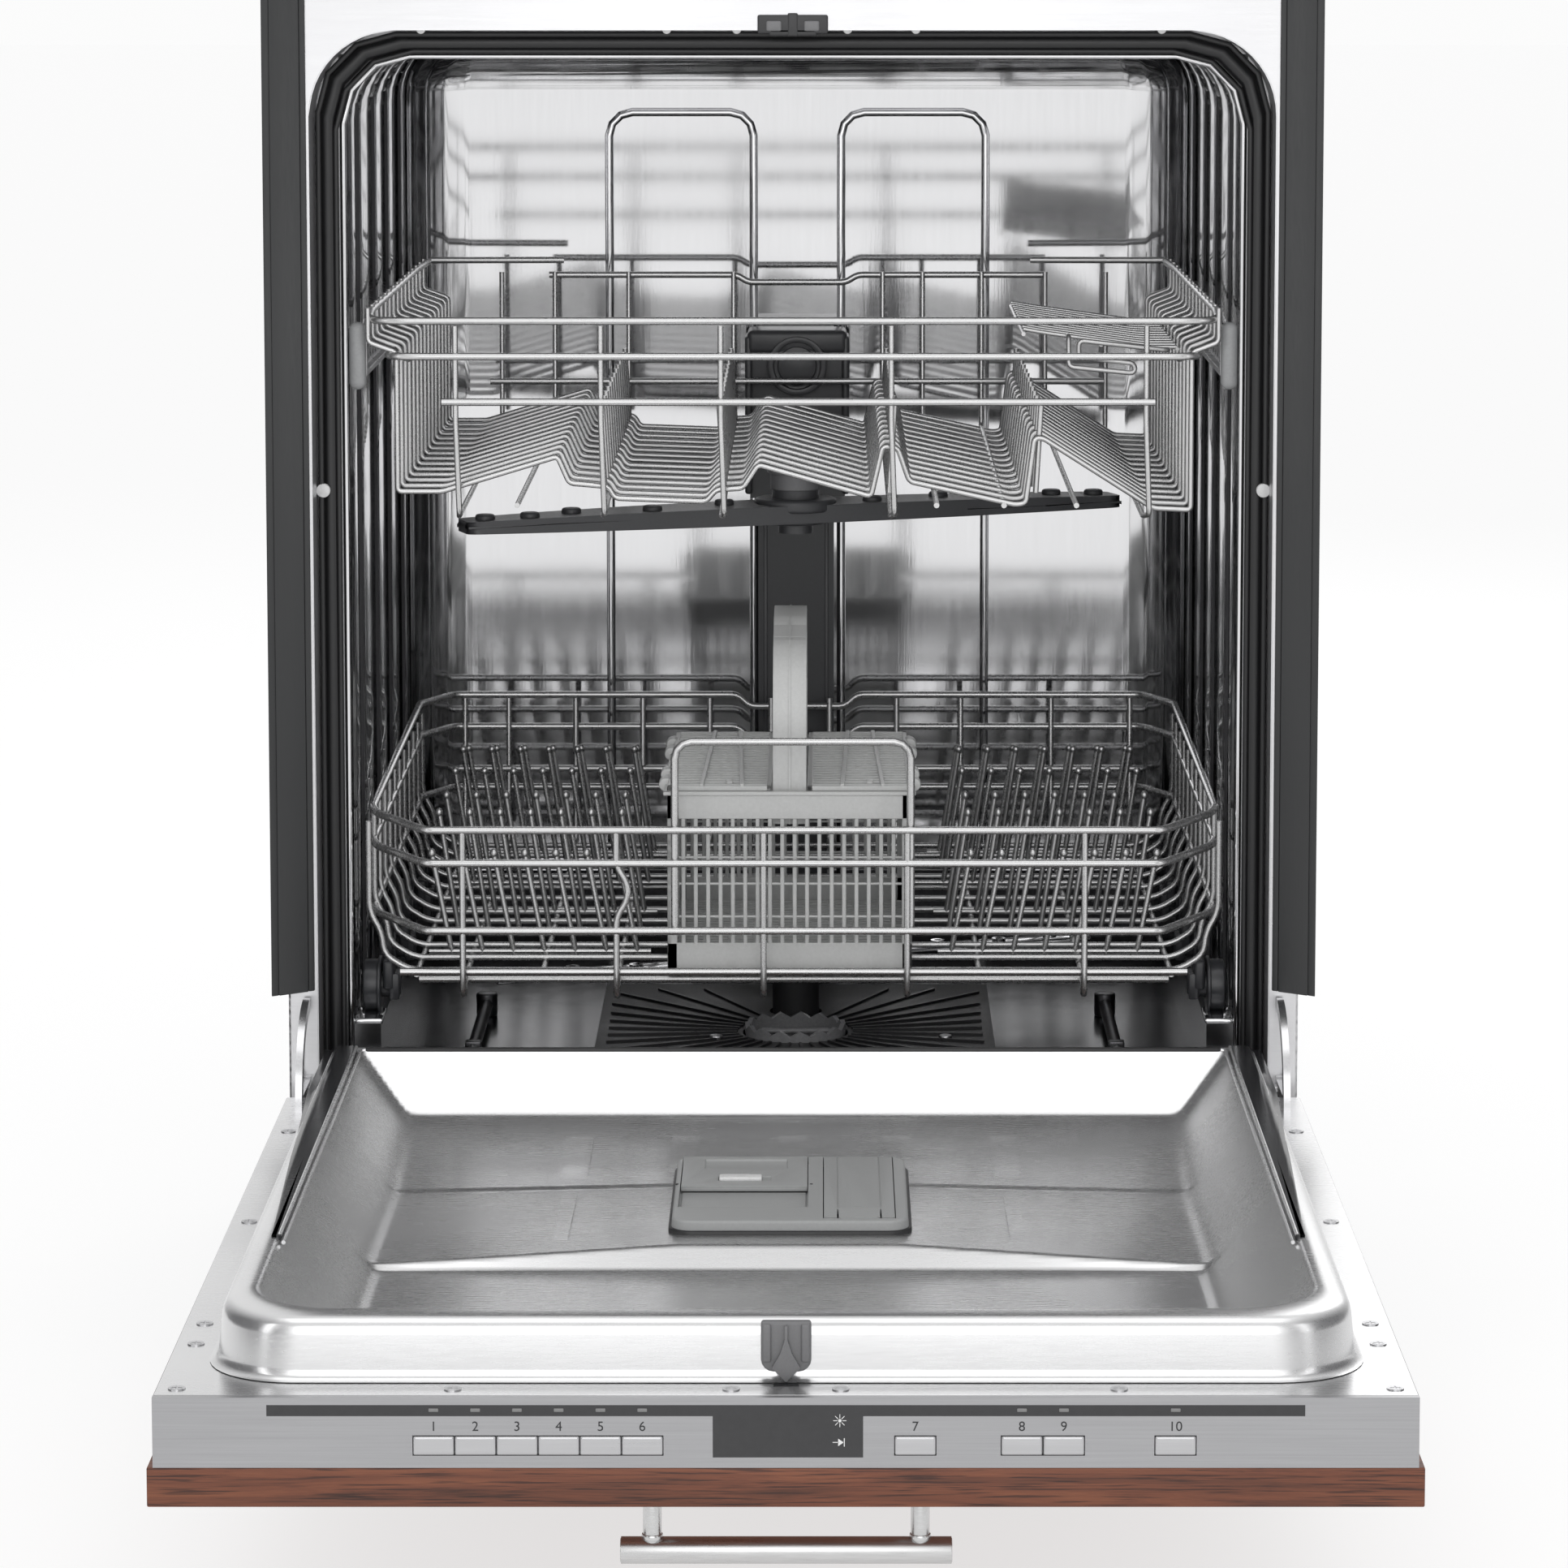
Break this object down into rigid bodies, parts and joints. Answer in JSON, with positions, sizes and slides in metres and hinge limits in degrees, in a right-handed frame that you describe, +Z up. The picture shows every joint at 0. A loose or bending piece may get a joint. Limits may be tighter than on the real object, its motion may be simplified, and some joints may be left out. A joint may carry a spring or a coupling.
{
  "type": "built in dishwasher",
  "caption": "Panel-ready built-in dishwasher with its drop-down door open, wood front panel, stainless tub, two wire racks, spray arms, cutlery basket and dispenser.",
  "frame": {"origin": "on the floor, at the middle of the unit's box with the door open", "axes": "+Z up, -Y out of the front towards the person loading it, +X to that person's right"},
  "size_m": [0.618, 1.2236, 0.86],
  "materials": {
    "stainless": "polished stainless sheet",
    "wire": "polished stainless wire",
    "fascia": "brushed across",
    "walnut": "satin veneer, grain across",
    "dark_plastic": "fine satin moulding",
    "grey_plastic": "satin moulding",
    "light_plastic": "satin moulding",
    "white_plastic": "smooth",
    "gloss_black": "gloss",
    "rubber": "matt",
    "felt": "pressed fibre sheet",
    "zinc": "zinc plated"
  },
  "bodies": {
    "cabinet": {"base_frame": "dark_plastic", "levelling_feet": "dark_plastic", "toe_kick": "gloss_black", "tub_wrap": "stainless", "tub_back": "stainless", "tub_floor": "stainless", "front_flange": "stainless", "door_gasket": "rubber", "bottom_seal": "rubber", "side_trims": "dark_plastic", "latch_striker": "dark_plastic", "rack_slides": "zinc", "feed_duct": "dark_plastic", "sump": "dark_plastic", "circulation_pump": "dark_plastic", "drain_pump": "grey_plastic", "inlet_valve": "white_plastic", "junction_box": "zinc", "heater": "wire", "filter_plate": "dark_plastic", "sound_jacket": "felt", "counter_brackets": "zinc", "hinge_brackets": "zinc"},
    "door": {"hinge_arms": "white_plastic", "door_liner": "stainless", "door_frame": "dark_plastic", "control_panel": "fascia", "control_strip": "gloss_black", "wood_panel": "walnut", "door_handle": "stainless", "wheel_tracks": "dark_plastic", "door_latch": "dark_plastic", "door_screws": "zinc", "dispenser_body": "light_plastic"},
    "detergent_lid": {"detergent_lid": "light_plastic"},
    "lid_catch": {"lid_catch": "white_plastic"},
    "rinse_lid": {"rinse_lid": "light_plastic"},
    "upper_rack": {"upper_rack": "wire", "rack_feed_pipe": "dark_plastic"},
    "cup_shelf": {"cup_shelf": "wire"},
    "upper_spray_arm": {"upper_spray_arm": "dark_plastic"},
    "lower_rack": {"lower_rack": "wire", "rack_wheels": "dark_plastic"},
    "folding_tines": {"folding_tines": "wire"},
    "cutlery_basket": {"cutlery_basket": "light_plastic"},
    "basket_lid_left": {"basket_lid_left": "light_plastic"},
    "basket_lid_right": {"basket_lid_right": "light_plastic"},
    "lower_spray_arm": {"lower_spray_arm": "stainless"},
    "filter_cup": {"filter_cup": "dark_plastic"},
    "button_1": {"button_1": "fascia"},
    "button_2": {"button_2": "fascia"},
    "button_3": {"button_3": "fascia"},
    "button_4": {"button_4": "fascia"},
    "button_5": {"button_5": "fascia"},
    "button_6": {"button_6": "fascia"},
    "button_7": {"button_7": "fascia"},
    "button_8": {"button_8": "fascia"},
    "button_9": {"button_9": "fascia"},
    "button_10": {"button_10": "fascia"}
  },
  "joints": [
    {"name": "door_hinge", "type": "hinge", "parent": "cabinet", "child": "door", "pos_m": [0, 0.0338, 0.185], "axis": [1, 0, 0], "range_deg": [-90, 0]},
    {"name": "button_1_press", "type": "slide", "parent": "door", "child": "button_1", "axis": [0, 1, 0], "range_m": [0, 0.0012], "stiffness_N_per_m": 200},
    {"name": "button_2_press", "type": "slide", "parent": "door", "child": "button_2", "axis": [0, 1, 0], "range_m": [0, 0.0012], "stiffness_N_per_m": 200},
    {"name": "button_3_press", "type": "slide", "parent": "door", "child": "button_3", "axis": [0, 1, 0], "range_m": [0, 0.0012], "stiffness_N_per_m": 200},
    {"name": "button_4_press", "type": "slide", "parent": "door", "child": "button_4", "axis": [0, 1, 0], "range_m": [0, 0.0012], "stiffness_N_per_m": 200},
    {"name": "button_5_press", "type": "slide", "parent": "door", "child": "button_5", "axis": [0, 1, 0], "range_m": [0, 0.0012], "stiffness_N_per_m": 200},
    {"name": "button_6_press", "type": "slide", "parent": "door", "child": "button_6", "axis": [0, 1, 0], "range_m": [0, 0.0012], "stiffness_N_per_m": 200},
    {"name": "button_7_press", "type": "slide", "parent": "door", "child": "button_7", "axis": [0, 1, 0], "range_m": [0, 0.0012], "stiffness_N_per_m": 200},
    {"name": "button_8_press", "type": "slide", "parent": "door", "child": "button_8", "axis": [0, 1, 0], "range_m": [0, 0.0012], "stiffness_N_per_m": 200},
    {"name": "button_9_press", "type": "slide", "parent": "door", "child": "button_9", "axis": [0, 1, 0], "range_m": [0, 0.0012], "stiffness_N_per_m": 200},
    {"name": "button_10_press", "type": "slide", "parent": "door", "child": "button_10", "axis": [0, 1, 0], "range_m": [0, 0.0012], "stiffness_N_per_m": 200},
    {"name": "detergent_lid_slide", "type": "slide", "parent": "door", "child": "detergent_lid", "axis": [0, -1, 0], "range_m": [0, 0.046]},
    {"name": "lid_catch_slide", "type": "slide", "parent": "detergent_lid", "child": "lid_catch", "axis": [1, 0, 0], "range_m": [0, 0.0045], "stiffness_N_per_m": 100},
    {"name": "rinse_lid_hinge", "type": "hinge", "parent": "door", "child": "rinse_lid", "pos_m": [0.037, -0.1507, 0.1875], "axis": [-1, 0, 0], "range_deg": [0, 18]},
    {"name": "upper_rack_slide", "type": "slide", "parent": "cabinet", "child": "upper_rack", "axis": [0, -1, 0], "range_m": [0, 0.45]},
    {"name": "cup_shelf_fold", "type": "hinge", "parent": "upper_rack", "child": "cup_shelf", "pos_m": [0.232, 0.2578, 0.617], "axis": [0, 1, 0], "range_deg": [0, 85]},
    {"name": "upper_arm_spin", "type": "hinge", "parent": "upper_rack", "child": "upper_spray_arm", "pos_m": [0, 0.3068, 0.5], "axis": [0, 0, 1], "continuous": true},
    {"name": "lower_rack_slide", "type": "slide", "parent": "cabinet", "child": "lower_rack", "axis": [0, -1, 0], "range_m": [0, 0.53]},
    {"name": "tines_fold", "type": "hinge", "parent": "lower_rack", "child": "folding_tines", "pos_m": [0, 0.3584, 0.2497], "axis": [-1, 0, 0], "range_deg": [0, 78]},
    {"name": "basket_lift", "type": "slide", "parent": "lower_rack", "child": "cutlery_basket", "axis": [0, 0, 1], "range_m": [0, 0.025]},
    {"name": "basket_lid_left_hinge", "type": "hinge", "parent": "cutlery_basket", "child": "basket_lid_left", "pos_m": [-0.0745, 0.1958, 0.3568], "axis": [0, -1, 0], "range_deg": [0, 100]},
    {"name": "basket_lid_right_hinge", "type": "hinge", "parent": "cutlery_basket", "child": "basket_lid_right", "pos_m": [0.0695, 0.1958, 0.3568], "axis": [0, 1, 0], "range_deg": [0, 100]},
    {"name": "lower_arm_spin", "type": "hinge", "parent": "cabinet", "child": "lower_spray_arm", "pos_m": [0, 0.3268, 0.206], "axis": [0, 0, 1], "continuous": true},
    {"name": "filter_twist", "type": "hinge", "parent": "cabinet", "child": "filter_cup", "pos_m": [0, 0.2618, 0.17], "axis": [0, 0, 1], "range_deg": [0, 60]}
  ]
}
